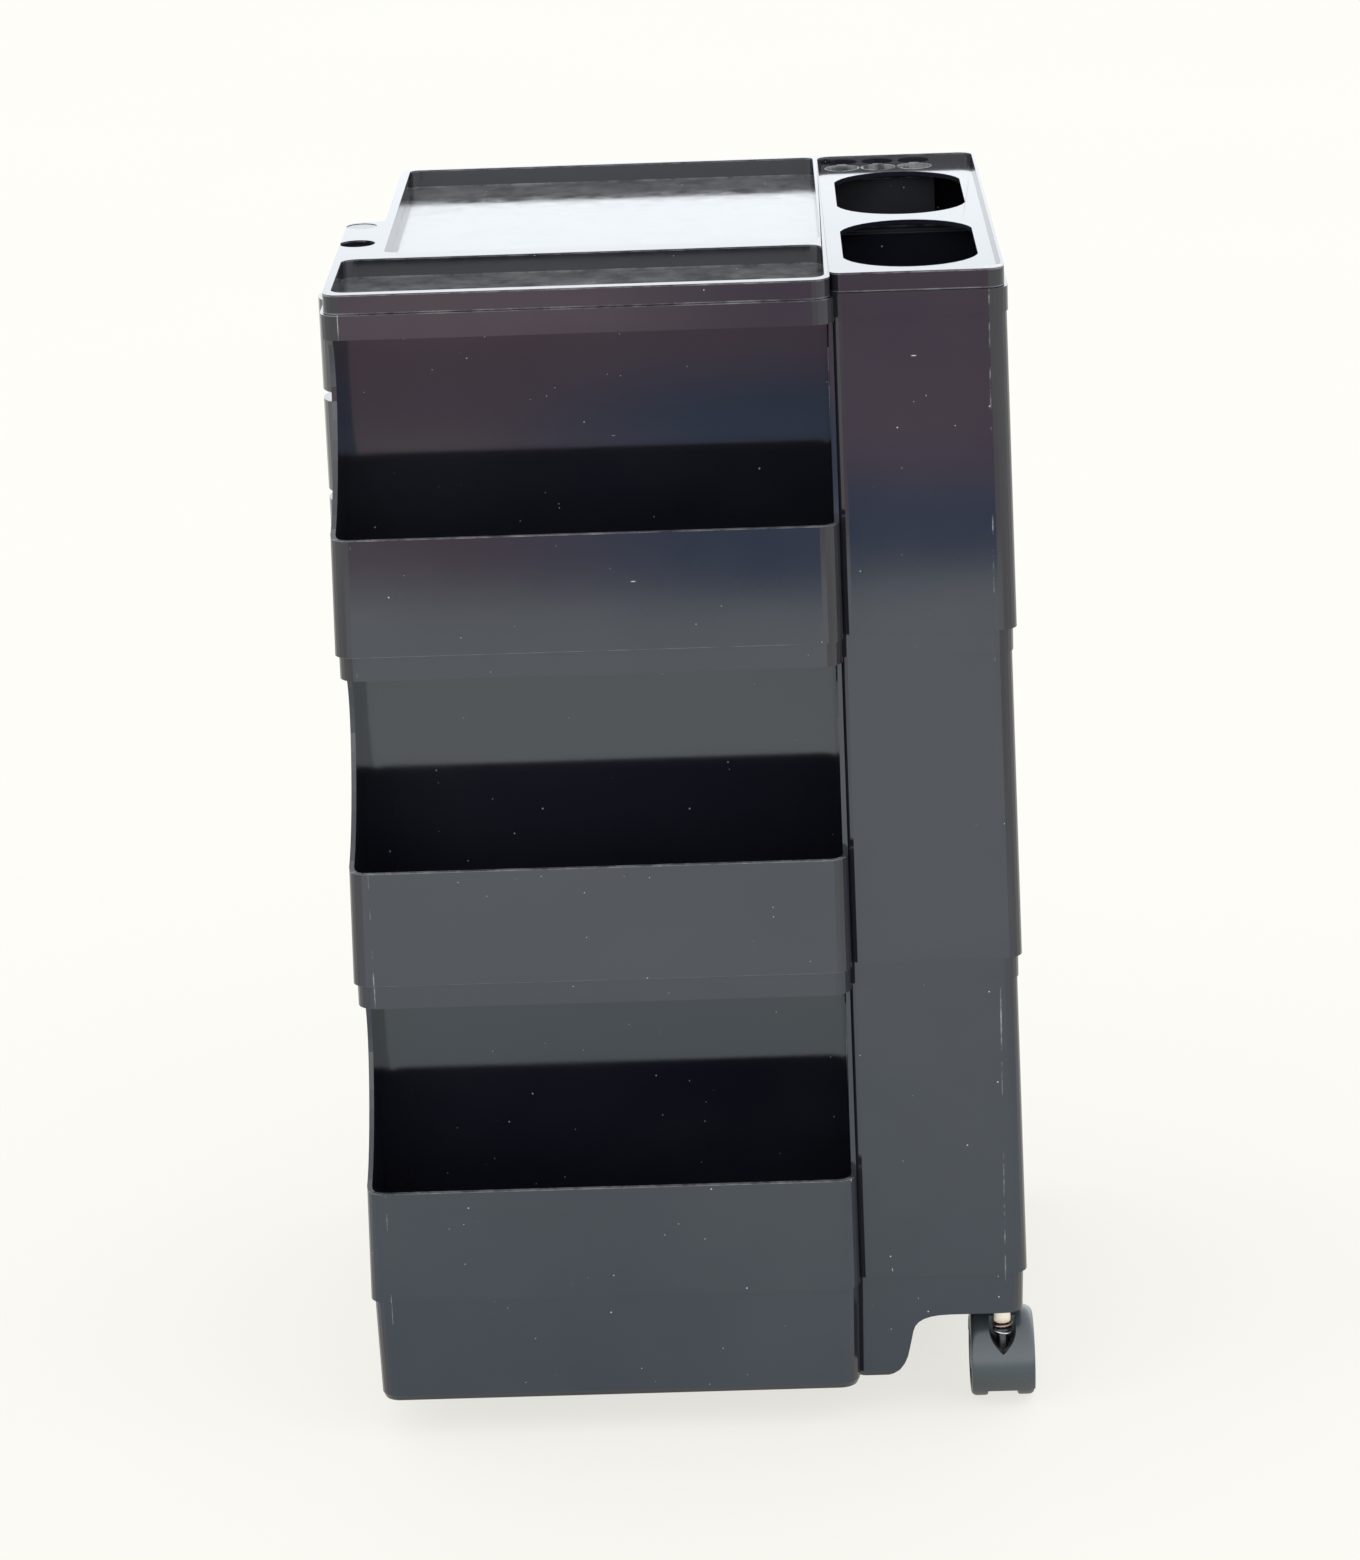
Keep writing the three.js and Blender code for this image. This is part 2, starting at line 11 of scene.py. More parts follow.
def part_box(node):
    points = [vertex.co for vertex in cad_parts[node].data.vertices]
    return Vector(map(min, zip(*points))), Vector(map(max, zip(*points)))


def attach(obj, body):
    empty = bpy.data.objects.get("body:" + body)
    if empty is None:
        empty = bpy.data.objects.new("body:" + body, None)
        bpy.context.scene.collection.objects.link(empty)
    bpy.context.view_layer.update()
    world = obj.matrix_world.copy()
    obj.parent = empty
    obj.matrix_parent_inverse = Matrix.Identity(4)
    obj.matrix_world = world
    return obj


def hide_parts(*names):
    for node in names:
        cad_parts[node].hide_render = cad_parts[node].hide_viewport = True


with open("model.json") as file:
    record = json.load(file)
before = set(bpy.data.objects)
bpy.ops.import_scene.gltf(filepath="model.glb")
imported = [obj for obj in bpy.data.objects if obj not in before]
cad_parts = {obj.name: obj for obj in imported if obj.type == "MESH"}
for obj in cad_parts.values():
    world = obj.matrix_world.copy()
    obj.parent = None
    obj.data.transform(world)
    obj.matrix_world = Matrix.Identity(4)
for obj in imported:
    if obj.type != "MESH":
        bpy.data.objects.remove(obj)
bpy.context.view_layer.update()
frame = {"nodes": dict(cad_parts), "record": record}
nodes = frame["nodes"]

MM = 0.001
MODULES = ["module_1_shell", "module_2_shell", "module_3_shell"]
DRAWERS = ["drawer_1", "drawer_2", "drawer_3"]
CASTERS = ["front_right", "back_right", "front_left", "back_left"]
SIDES = {"left": -1, "right": 1}


# ---- Camera ----

LENS_MM = 116.8
CAMERA_PLACE = (0.05556, -3.1475, 1.33174)
CAMERA_RIGHT = (0.99938, 0.007543, -0.034531)
CAMERA_UP = (0.030792, 0.293786, 0.95539)


def make_camera():
    """The photograph's viewing angle: place and axes in the row frame."""
    data = bpy.data.cameras.new("camera")
    data.sensor_fit = "AUTO"
    data.sensor_width = 36.0
    data.lens = LENS_MM
    data.clip_start = 0.1
    data.clip_end = 60.0
    camera = bpy.data.objects.new("camera", data)
    right = Vector(CAMERA_RIGHT)
    up = Vector(CAMERA_UP)
    back = right.cross(up)
    turn = Matrix((right, up, back)).transposed()
    camera.matrix_world = Matrix.Translation(CAMERA_PLACE) @ turn.to_4x4()
    bpy.context.scene.collection.objects.link(camera)
    bpy.context.scene.camera = camera
    bpy.context.scene.view_settings.view_transform = "Standard"


# ---- Node helpers ----

class Tree:
    """Short calls for building a node tree."""

    def __init__(self, tree):
        self.tree = tree
        tree.nodes.clear()

    def add(self, kind, **settings):
        node = self.tree.nodes.new(kind)
        for key, value in settings.items():
            setattr(node, key, value)
        return node

    def link(self, source, target):
        self.tree.links.new(source, target)

    def feed(self, node, name, value):
        if isinstance(value, bpy.types.NodeSocket):
            self.link(value, node.inputs[name])
        else:
            node.inputs[name].default_value = value

    def place(self):
        return self.add("ShaderNodeTexCoord").outputs["Object"]

    def axes(self, vector):
        parts = self.add("ShaderNodeSeparateXYZ")
        self.link(vector, parts.inputs[0])
        return parts.outputs

    def math(self, operation, a, b=0.0, clamp=False):
        node = self.add("ShaderNodeMath", operation=operation, use_clamp=clamp)
        self.feed(node, 0, a)
        self.feed(node, 1, b)
        return node.outputs[0]

    def total(self, values):
        result = values[0]
        for value in values[1:]:
            result = self.math("ADD", result, value)
        return result

    def mapped(self, vector, scale, turn=(0.0, 0.0, 0.0)):
        node = self.add("ShaderNodeMapping")
        self.link(vector, node.inputs["Vector"])
        node.inputs["Rotation"].default_value = turn
        node.inputs["Scale"].default_value = scale
        return node.outputs["Vector"]

    def noise(self, vector, scale, detail=2.0, roughness=0.5):
        node = self.add("ShaderNodeTexNoise")
        self.link(vector, node.inputs["Vector"])
        node.inputs["Scale"].default_value = scale
        node.inputs["Detail"].default_value = detail
        node.inputs["Roughness"].default_value = roughness
        return node.outputs["Fac"]

    def ramp(self, value, low, high, low_out=0.0, high_out=1.0):
        node = self.add("ShaderNodeMapRange", clamp=True)
        self.link(value, node.inputs["Value"])
        node.inputs["From Min"].default_value = low
        node.inputs["From Max"].default_value = high
        node.inputs["To Min"].default_value = low_out
        node.inputs["To Max"].default_value = high_out
        return node.outputs["Result"]

    def mix(self, factor, a, b):
        node = self.add("ShaderNodeMix", data_type="RGBA")
        self.feed(node, 0, factor)
        self.feed(node, 6, a)
        self.feed(node, 7, b)
        return node.outputs[2]

    def band(self, value, middle, half_width):
        """1 where value is near middle, 0 beyond half_width."""
        away = self.math("ABSOLUTE", self.math("SUBTRACT", value, middle))
        return self.ramp(away, half_width, half_width * 0.5)

    def finish(self, shader):
        out = self.add("ShaderNodeOutputMaterial")
        self.link(shader.outputs[0], out.inputs["Surface"])


def rgb(red, green, blue):
    return (red, green, blue, 1.0)


def new_material(name):
    material = bpy.data.materials.new(name)
    material.use_nodes = True
    return material, Tree(material.node_tree)


# ---- Where the plastic is worn, and where highlights are painted on its edges ----

COVER_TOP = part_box("top_cover")[1][2]
RECESS_LEVEL = COVER_TOP - 6.0 * MM
TRAY_LEVEL = COVER_TOP - 11.8 * MM
DIVIDER_TOP = COVER_TOP - 14.3 * MM
DIVIDER_Y = 13.5 * MM
RIM_ABOVE_FLOOR = 72.5 * MM
MODULE_HEIGHT = 209.7 * MM
RIM_FRONT = -203.5 * MM
PEN_HOLE_RADIUS = 10.5 * MM
CORNER_LEFT = -190.5 * MM
CORNER_RIGHT = 195.5 * MM


def module_edges():
    """Heights of the shells' edges that get pale lines, which are painted highlights of the rounded edges and
    also wear: pocket rims and the joints between modules.
    """
    heights = [COVER_TOP]
    for name in MODULES:
        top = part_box(name)[1][2]
        heights += [top, top - MODULE_HEIGHT + RIM_ABOVE_FLOOR]
    return heights


def pen_holes():
    """Centre of each pen hole and the radius of its pale ring, a painted highlight, from the record's
    openings.
    """
    holes = []
    for opening in frame["record"]["physics"]["openings"]:
        if opening["name"].startswith("pen_hole"):
            low, high = (Vector(corner) for corner in opening["box_m"])
            holes.append(((low + high) / 2, PEN_HOLE_RADIUS + 0.5 * MM))
    return holes


def specks(t, vector, scale, size, share):
    """Small round pale specks: one in each cell, kept in a share of the cells."""
    cells = t.add("ShaderNodeTexVoronoi", feature="F1")
    t.link(vector, cells.inputs["Vector"])
    cells.inputs["Scale"].default_value = scale
    near = t.ramp(cells.outputs["Distance"], size, size * 0.5)
    pick = t.add("ShaderNodeSeparateColor")
    t.link(cells.outputs["Color"], pick.inputs["Color"])
    return t.math("MULTIPLY", near, t.math("GREATER_THAN", pick.outputs[0], 1.0 - share))


def nicks(t, place):
    """Short pale scratches that lie at a few slants."""
    flat = specks(t, t.mapped(place, (0.22, 1.0, 1.0), (0.0, 0.3, 0.0)), scale=50.0, size=0.022, share=0.35)
    steep = specks(t, t.mapped(place, (1.0, 1.0, 0.20), (0.0, 0.15, 0.0)), scale=55.0, size=0.020, share=0.40)
    return t.math("ADD", flat, steep)


def corner_scuffs(t, place):
    """Broken vertical lines where the front walls start to turn round their corners."""
    x, y, z = t.axes(place)
    lines = t.math("ADD", t.band(x, CORNER_LEFT, 0.4 * MM), t.band(x, CORNER_RIGHT, 0.5 * MM))
    broken = t.ramp(t.noise(t.mapped(place, (3.0, 3.0, 22.0)), 1.0, 5.0, 0.7), 0.52, 0.66, 0.0, 0.6)
    in_front = t.math("LESS_THAN", y, -180 * MM)
    return t.math("MULTIPLY", t.math("MULTIPLY", lines, broken), in_front)


def rim_lines(t, place, heights):
    """Thin broken pale lines at given heights: painted highlights on the rounded edges, and their wear."""
    z = t.axes(place)[2]
    lines = t.total([t.band(z, level, 0.55 * MM) for level in heights])
    broken = t.ramp(t.noise(place, 60.0, 5.0, 0.7), 0.36, 0.66)
    return t.math("MULTIPLY", t.math("MULTIPLY", lines, broken, clamp=True), 0.40)


def hole_rings(t, place, holes):
    """Pale rings round the pen holes, broken by noise: painted highlights of their rounded edges, and
    rubbing; a hole is its centre and radius.
    """
    x, y, z = t.axes(place)
    below = t.math("LESS_THAN", z, RECESS_LEVEL + 0.5 * MM)
    flat = t.add("ShaderNodeCombineXYZ")
    t.link(x, flat.inputs[0])
    t.link(y, flat.inputs[1])
    rings = []
    for centre, radius in holes:
        away = t.add("ShaderNodeVectorMath", operation="DISTANCE")
        t.link(flat.outputs[0], away.inputs[0])
        away.inputs[1].default_value = (centre[0], centre[1], 0.0)
        rings.append(t.band(away.outputs["Value"], radius, 0.9 * MM))
    broken = t.ramp(t.noise(place, 90.0, 3.0), 0.38, 0.55, 0.25, 0.9)
    return t.math("MULTIPLY", t.math("MULTIPLY", t.total(rings), broken, clamp=True), below)


def shell_marks(t, place):
    """The shells' own marks, on their fronts only: worn corners, and pale lines on rims and joints that are
    painted highlights and wear.
    """
    y = t.axes(place)[1]
    in_front = t.math("LESS_THAN", y, RIM_FRONT)
    rims = t.math("MULTIPLY", rim_lines(t, place, module_edges()), in_front)
    return [corner_scuffs(t, place), rims]


def cover_marks(t, place):
    """The cover's own marks: pale lines on its top and bottom edges all round, which are painted highlights
    and wear, and painted highlight rings round the pen holes.
    """
    edges = [TRAY_LEVEL + 0.4 * MM, COVER_TOP - 0.7 * MM]
    return [rim_lines(t, place, edges), hole_rings(t, place, pen_holes())]


def tray_dust(t, place):
    """Dust on the floors of the cover's trays."""
    height = t.axes(place)[2]
    patches = t.ramp(t.noise(place, 40.0, 4.0), 0.3, 0.7, 0.20, 0.28)
    return t.math("MULTIPLY", t.ramp(height, TRAY_LEVEL + 0.6 * MM, TRAY_LEVEL + 0.2 * MM), patches)


def divider_top(t, place):
    """The rough top edge of the divider between the two shafts."""
    x, y, z = t.axes(place)
    return t.math("MULTIPLY", t.band(z, DIVIDER_TOP, 2.0 * MM), t.band(y, DIVIDER_Y, 4.0 * MM))


def rubbed_corner(t, place):
    """A rubbed patch round the cover's front right corner."""
    low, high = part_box("top_cover")
    centre = (high[0] - 9 * MM, low[1] + 29 * MM, high[2] - 1 * MM)
    radius = 8 * MM
    offset = t.add("ShaderNodeVectorMath", operation="DISTANCE")
    t.link(place, offset.inputs[0])
    offset.inputs[1].default_value = centre
    near = t.ramp(offset.outputs["Value"], radius, radius * 0.35)
    torn = t.ramp(t.noise(place, 260.0, 3.0), 0.42, 0.58)
    return t.math("MULTIPLY", near, torn)


# ---- Materials ----

DARK = rgb(0.0060, 0.0062, 0.0105)
LIGHT = rgb(0.0100, 0.0102, 0.0150)
HOOD_DARK = rgb(0.018, 0.024, 0.027)
HOOD_LIGHT = rgb(0.028, 0.037, 0.041)
WHEEL_DARK = rgb(0.010, 0.012, 0.014)
WHEEL_LIGHT = rgb(0.020, 0.022, 0.024)
# Pale marks: wear, and highlights painted on edges and round the pen holes.
PALE = rgb(0.44, 0.43, 0.41)
DUST = rgb(0.075, 0.073, 0.070)
SCUFF = rgb(0.62, 0.63, 0.45)
CREAM = rgb(0.80, 0.74, 0.60)
DIRT = rgb(0.26, 0.15, 0.08)
PLASTIC_IOR = 1.62


def plastic_normal(t, place, wear_and_highlights):
    """Moulding waves, fine orange peel and dents along the wear marks and the painted highlight lines."""
    peel = t.math("MULTIPLY", t.noise(place, 240.0, 2.0), 0.03)
    waves = t.math("MULTIPLY", t.noise(place, 9.0, 1.0), 0.6)
    height = t.math("SUBTRACT", t.math("ADD", peel, waves), t.math("MULTIPLY", wear_and_highlights, 0.15))
    bump = t.add("ShaderNodeBump")
    bump.inputs["Strength"].default_value = 0.10
    bump.inputs["Distance"].default_value = 1.2 * MM
    t.link(height, bump.inputs["Height"])
    return bump.outputs["Normal"]


def moulded_plastic(name, dark=DARK, light=LIGHT, gloss=0.065, wear=1.0,
                    own_marks=None, dust=None, patch=None, rough_edge=None):
    """Glossy moulded plastic: soft colour patches, smudged gloss, dust, specks and fine scratches, and pale
    highlight lines painted where a part's own marks put them.

    The last four are functions of the tree and the place that say where one part has more of its own.
    """
    material, t = new_material(name)
    place = t.place()
    small = specks(t, place, scale=60.0, size=0.036, share=0.75)
    smaller = specks(t, place, scale=120.0, size=0.045, share=0.30)
    marks = [small, smaller, nicks(t, place)]
    if own_marks:
        marks += own_marks(t, place)
    # The marks' mask: wear, and on the shell and cover also the pale lines painted as highlights on edges and
    # round the pen holes.
    wear_and_highlights = t.math("MULTIPLY", t.total(marks), wear, clamp=True)

    body = t.mix(t.ramp(t.noise(place, 5.0, 3.0), 0.35, 0.65), dark, light)
    haze = t.ramp(t.noise(place, 3.2, 5.0, 0.65), 0.45, 0.80, 0.0, 0.10)
    colour = t.mix(t.math("MULTIPLY", haze, wear), body, DUST)
    if dust:
        colour = t.mix(dust(t, place), colour, DUST)
    # Paints the marks pale: wear, and painted highlights on the edges and round the pen holes.
    colour = t.mix(t.math("MULTIPLY", wear_and_highlights, 0.8), colour, PALE)
    if patch:
        torn = patch(t, place)
        colour = t.mix(torn, colour, SCUFF)
        wear_and_highlights = t.math("ADD", wear_and_highlights, torn)

    smudge = t.ramp(t.noise(place, 9.0, 5.0, 0.6), 0.3, 0.75, gloss * 0.8, gloss * 1.35)
    rough = t.math("ADD", smudge, t.math("MULTIPLY", wear_and_highlights, 0.4), clamp=True)
    if rough_edge:
        rough = t.math("ADD", rough, rough_edge(t, place), clamp=True)
    shader = t.add("ShaderNodeBsdfPrincipled")
    t.link(colour, shader.inputs["Base Color"])
    t.link(rough, shader.inputs["Roughness"])
    t.link(plastic_normal(t, place, wear_and_highlights), shader.inputs["Normal"])
    shader.inputs["IOR"].default_value = PLASTIC_IOR
    t.finish(shader)
    return material


def plated_steel(name, clean, tarnished):
    """Turned, plated steel with fine rings and tarnish."""
    material, t = new_material(name)
    place = t.place()
    tarnish = t.ramp(t.noise(place, 160.0, 4.0), 0.42, 0.62)
    rings = t.noise(t.mapped(place, (1.0, 1.0, 40.0)), 60.0, 2.0)
    shader = t.add("ShaderNodeBsdfPrincipled")
    shader.inputs["Metallic"].default_value = 1.0
    t.link(t.mix(tarnish, clean, tarnished), shader.inputs["Base Color"])
    t.link(t.ramp(rings, 0.3, 0.7, 0.20, 0.42), shader.inputs["Roughness"])
    t.finish(shader)
    return material


def aged_nylon(name):
    """Cream nylon, with brown dirt that thickens towards its lower edge."""
    material, t = new_material(name)
    place = t.place()
    height = t.axes(place)[2]
    low_edge = t.ramp(height, 62.5 * MM, 57.0 * MM)
    stain = t.ramp(t.noise(place, 320.0, 4.0), 0.55, 0.72, 0.0, 0.5)
    dirt = t.math("MAXIMUM", t.math("MULTIPLY", low_edge, t.noise(place, 200.0, 2.0)), stain)
    shader = t.add("ShaderNodeBsdfPrincipled")
    t.link(t.mix(dirt, CREAM, DIRT), shader.inputs["Base Color"])
    t.link(t.ramp(dirt, 0.0, 1.0, 0.38, 0.7), shader.inputs["Roughness"])
    t.finish(shader)
    return material


# ---- Finishing of the CAD nodes ----

def finish_mesh(obj, bevel=0.9 * MM, segments=3, angle=32.0):
    """Merges the flat facets, rounds the hard edges and evens out the shading."""
    obj.data.polygons.foreach_set("use_smooth", [True] * len(obj.data.polygons))
    flat = obj.modifiers.new("merge_flat", "DECIMATE")
    flat.decimate_type = "DISSOLVE"
    flat.angle_limit = math.radians(0.6)
    soften = obj.modifiers.new("round_edges", "BEVEL")
    soften.width = bevel
    soften.segments = segments
    soften.limit_method = "ANGLE"
    soften.angle_limit = math.radians(angle)
    soften.use_clamp_overlap = True
    even = obj.modifiers.new("even_shading", "WEIGHTED_NORMAL")
    even.weight = 80
    even.keep_sharp = False


def dress(obj, material):
    obj.data.materials.clear()
    obj.data.materials.append(material)


# ---- Casters ----

AXLE_HEIGHT = 25 * MM
HALF_WIDTH = 20.1 * MM
FENDER_INSIDE = 25.8 * MM
WEB_HALF = 8.6 * MM
HOOD_START = math.radians(17)
HOOD_END = math.radians(209)
HOOD_FLAT = 12.0 * MM
HOOD_LEAST = 28.6 * MM
HOOD_RISE = 4.8 * MM
HOOD_SHOULDER = 26.9 * MM
WEB_END = math.radians(204)
WEB_FOOT_HALF = 10 * MM
WEB_FOOT_HEIGHT = 17 * MM
WHEEL_PROFILE_MM = [
    (0, 17.2), (2.8, 17.2), (2.8, 9.4), (8, 9.4), (8.6, 10.4), (20.6, 10.4), (21.4, 9.5), (24.0, 9.5),
    (24.8, 10.1), (25.0, 11.2), (25.0, 16.6), (24.7, 18.2), (23.8, 19.4), (22.4, 20.0), (20.8, 20.1),
    (20.2, 19.5), (19.4, 18.6), (9.6, 18.1), (8.8, 18.7), (8.0, 19.6), (6.6, 20.0), (0, 20.1),
]
SLEEVE_PROFILE_MM = [
    (4.3, 56.4), (4.7, 56.0), (5.0, 56.0), (5.3, 56.5), (5.3, 60.0), (5.0, 60.6), (5.0, 79.6), (4.3, 80.0),
    (4.3, 56.4),
]


def new_piece(name, mesh, material, body, slot, *replaced):
    """Links a mesh as a piece that rides on a body and stands for CAD nodes."""
    obj = bpy.data.objects.new(name, mesh)
    bpy.context.scene.collection.objects.link(obj)
    dress(obj, material)
    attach(obj, body)
    if replaced:
        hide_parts(*replaced)
    return obj


def mesh_of(name, points, faces, smooth=True):
    mesh = bpy.data.meshes.new(name)
    mesh.from_pydata([tuple(point) for point in points], [], faces)
    bm = bmesh.new()
    bm.from_mesh(mesh)
    bmesh.ops.remove_doubles(bm, verts=bm.verts, dist=1e-6)
    bmesh.ops.recalc_face_normals(bm, faces=bm.faces)
    bm.to_mesh(mesh)
    bm.free()
    mesh.polygons.foreach_set("use_smooth", [smooth] * len(mesh.polygons))
    return mesh


def prism(name, near, far):
    """A closed solid between two outlines with the same number of points."""
    count = len(near)
    faces = [tuple(range(count)), tuple(range(2 * count - 1, count - 1, -1))]
    faces += [(i, (i + 1) % count, count + (i + 1) % count, count + i) for i in range(count)]
    return mesh_of(name, near + far, faces)


def lathe(name, profile, place_at, segments=64):
    """Turns a profile of (radius, along) pairs; place_at puts (radius, angle, along) in space."""
    points = []
    for radius, along in profile:
        for step in range(segments):
            points.append(place_at(radius, 2 * math.pi * step / segments, along))
    faces = []
    for row in range(len(profile) - 1):
        for step in range(segments):
            after = (step + 1) % segments
            low, high = row * segments, (row + 1) * segments
            faces.append((low + step, low + after, high + after, high + step))
    return mesh_of(name, points, faces)


def sharpen(obj, angle=34.0):
    """Smooth shading with the hard edges kept."""
    even = obj.modifiers.new("even_shading", "WEIGHTED_NORMAL")
    even.keep_sharp = True
    mesh = obj.data
    mesh.set_sharp_from_angle(angle=math.radians(angle))


class CasterPlace:
    """Where one caster stands, read from its CAD nodes: its swivel axis and which way it trails."""

    def __init__(self, name):
        stem_low, stem_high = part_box(f"caster_stem_{name}")
        axle_low, axle_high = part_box(f"caster_axle_{name}")
        self.name = name
        self.body = f"caster_{name}"
        self.x = (stem_low[0] + stem_high[0]) / 2
        self.y = (stem_low[1] + stem_high[1]) / 2
        self.axle_y = (axle_low[1] + axle_high[1]) / 2
        self.trail = abs(self.axle_y - self.y)
        self.way = 1 if self.axle_y > self.y else -1

    def at(self, x, y, z):
        """A point of the caster's own frame, trailing towards +Y, in the row frame."""
        return (self.x + self.way * x, self.y + self.way * y, z)


def hood_radius(angle):
    """The hood's outside, from the axle: highest above it, closer in at the front and back."""
    rise = max(0.0, math.sin(angle)) ** 3
    return HOOD_LEAST + HOOD_RISE * rise


def hood_outside(angle, x):
    """Rounds the shoulders: the radius falls towards both sides."""
    full = hood_radius(angle)
    across = max(0.0, abs(x) - HOOD_FLAT) / (HALF_WIDTH - HOOD_FLAT)
    return HOOD_SHOULDER + (full - HOOD_SHOULDER) * math.sqrt(max(0.0, 1.0 - across * across))


def fender_mesh(place, rows=56, columns=28):
    """The curved shell over both wheels, closed: outside, inside and its edges."""
    def ring(angle, radius, x):
        return place.at(x, place.trail + radius * math.cos(angle), AXLE_HEIGHT + radius * math.sin(angle))

    across = [HALF_WIDTH * math.sin(math.pi * (step / columns - 0.5)) for step in range(columns + 1)]
    points = []
    for row in range(rows + 1):
        angle = HOOD_START + (HOOD_END - HOOD_START) * row / rows
        points += [ring(angle, hood_outside(angle, x), x) for x in across]
        points += [ring(angle, FENDER_INSIDE, x) for x in reversed(across)]
    loop = 2 * (columns + 1)
    faces = []
    for row in range(rows):
        for step in range(loop):
            after = (step + 1) % loop
            low, high = row * loop, (row + 1) * loop
            faces.append((low + step, low + after, high + after, high + step))
    for row in (0, rows):
        start = row * loop
        for step in range(columns):
            inner = start + loop - 1 - step
            faces.append((start + step, start + step + 1, inner - 1, inner))
    return mesh_of("fender", points, faces)


def web_mesh(place, steps=40):
    """The solid middle between the wheels, under the fender, with the axle boss."""
    radius = FENDER_INSIDE + 0.6 * MM
    outline = []
    for step in range(steps + 1):
        angle = HOOD_START + (WEB_END - HOOD_START) * step / steps
        outline.append((place.trail + radius * math.cos(angle), AXLE_HEIGHT + radius * math.sin(angle)))
    outline += [(place.trail + side * WEB_FOOT_HALF, WEB_FOOT_HEIGHT) for side in (-1, 1)]
    near, far = ([place.at(side * WEB_HALF, y, z) for y, z in outline] for side in (-1, 1))
    return prism("web", near, far)


def shield_cutter(place):
    """The window below the stem: straight at the top, drawn in to a point."""
    half, top, bend, tip = 8.4 * MM, 62 * MM, 50 * MM, 36.5 * MM
    outline = [(-half, top), (-half, bend)]
    for step in range(1, 8):
        share = step / 8
        outline.append((-half * (1 - share ** 1.8), bend + (tip - bend) * share))
    outline.append((0.0, tip))
    outline += [(-x, z) for x, z in reversed(outline[:-1])]
    near, far = ([place.at(x, y, z) for x, z in outline] for y in (-25 * MM, 6.5 * MM))
    return prism("cutter", near, far)


def boolean(obj, mesh, operation):
    """Joins or cuts with another mesh and keeps the result as the object's own mesh."""
    tool = bpy.data.objects.new("tool", mesh)
    bpy.context.scene.collection.objects.link(tool)
    step = obj.modifiers.new("boolean", "BOOLEAN")
    step.operation = operation
    step.solver = "EXACT"
    step.object = tool
    graph = bpy.context.evaluated_depsgraph_get()
    result = bpy.data.meshes.new_from_object(obj.evaluated_get(graph))
    obj.modifiers.remove(step)
    obj.data = result
    bpy.data.objects.remove(tool)


def make_hood(place, material):
    hood = new_piece(f"hood_{place.name}", fender_mesh(place), material, place.body, "caster_plastic",
                     f"caster_hood_{place.name}")
    boolean(hood, web_mesh(place), "UNION")
    boolean(hood, shield_cutter(place), "DIFFERENCE")
    dress(hood, material)
    edge = hood.modifiers.new("round_edges", "BEVEL")
    edge.width = 0.45 * MM
    edge.segments = 2
    edge.limit_method = "ANGLE"
    edge.angle_limit = math.radians(38)
    even = hood.modifiers.new("even_shading", "WEIGHTED_NORMAL")
    even.keep_sharp = False


def make_wheel(place, side_name, side, material):
    profile = [(radius * MM, along * MM) for radius, along in WHEEL_PROFILE_MM]

    def at(radius, angle, along):
        return place.at(side * along, place.trail + radius * math.cos(angle),
                        AXLE_HEIGHT + radius * math.sin(angle))

    name = f"wheel_{place.name}_{side_name}"
    wheel = new_piece(f"turned_{name}", lathe(name, profile, at, 72), material, name, "wheel_plastic", name)
    sharpen(wheel, 50.0)


def make_sleeve(place, material):
    profile = [(radius * MM, along * MM) for radius, along in SLEEVE_PROFILE_MM]

    def at(radius, angle, along):
        return place.at(radius * math.cos(angle), radius * math.sin(angle), along)

    node = f"caster_sleeve_{place.name}"
    sleeve = new_piece(f"nylon_{place.name}", lathe(node, profile, at, 48), material, "trolley",
                       "sleeve_plastic", node)
    sharpen(sleeve)


def wire_ring(place, name, height, radius, wire, lean, material):
    """A wire ring round the stem, leaning to one side."""
    profile = []
    for step in range(11):
        angle = 2 * math.pi * step / 10
        profile.append((radius + wire * math.cos(angle), wire * math.sin(angle)))

    def at(ring_radius, angle, along):
        x = ring_radius * math.cos(angle)
        return place.at(x, ring_radius * math.sin(angle), height + along + lean * x)

    mesh = lathe(name, profile, at, 40)
    new_piece(f"{name}_{place.name}", mesh, material, place.body, "caster_steel")


def make_caster(name, looks):
    """One caster: its fine pieces, and its stem and axle from the CAD."""
    place = CasterPlace(name)
    make_hood(place, looks["hood"])
    for side_name, side in SIDES.items():
        make_wheel(place, side_name, side, looks["wheel"])
    make_sleeve(place, looks["nylon"])
    wire_ring(place, "dust_ring", 54.3 * MM, 6.0 * MM, 0.7 * MM, 0.05, looks["rust"])
    wire_ring(place, "stem_clip", 49.4 * MM, 5.6 * MM, 0.5 * MM, -0.16, looks["steel"])
    # The stem gets near-black steel: painted shade for the hood's window it stands in.
    for part, look in (("caster_stem", "painted_shade_steel"), ("caster_axle", "steel")):
        obj = nodes[f"{part}_{name}"]
        dress(obj, looks[look])
        finish_mesh(obj, bevel=0.3 * MM, segments=2)


# ---- Stage ----

